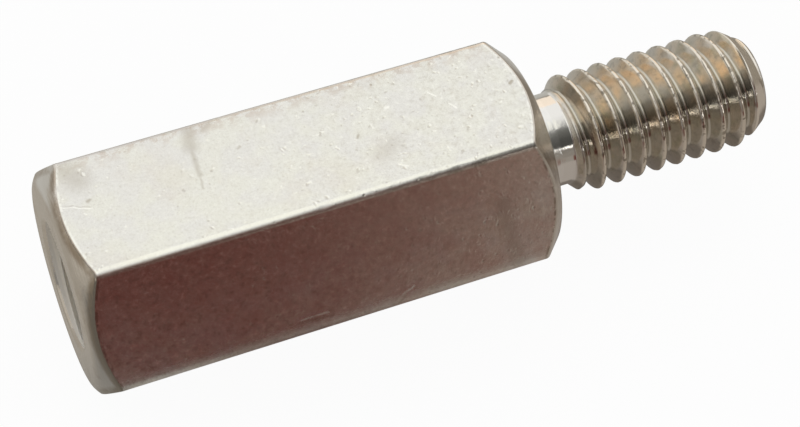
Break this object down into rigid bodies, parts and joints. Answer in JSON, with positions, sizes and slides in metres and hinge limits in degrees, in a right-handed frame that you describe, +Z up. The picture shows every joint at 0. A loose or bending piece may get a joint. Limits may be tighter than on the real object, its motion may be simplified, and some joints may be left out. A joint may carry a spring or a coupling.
{
  "type": "hex standoff",
  "caption": "Male-female hexagon standoff: a hex bar with turned ends, tapped at one end, with a necked threaded stud at the other.",
  "frame": {"origin": "on the surface the standoff lies on, midway between its tapped face and the tip of its stud, under its axis", "axes": "+X along the axis toward the stud, +Z up out of the flat it lies on"},
  "size_m": [0.023, 0.008, 0.0069],
  "materials": {
    "plated_metal": "satin nickel plating over brass, brighter where it was turned"
  },
  "bodies": {
    "root": {"hex_standoff": "plated_metal"}
  },
  "joints": []
}
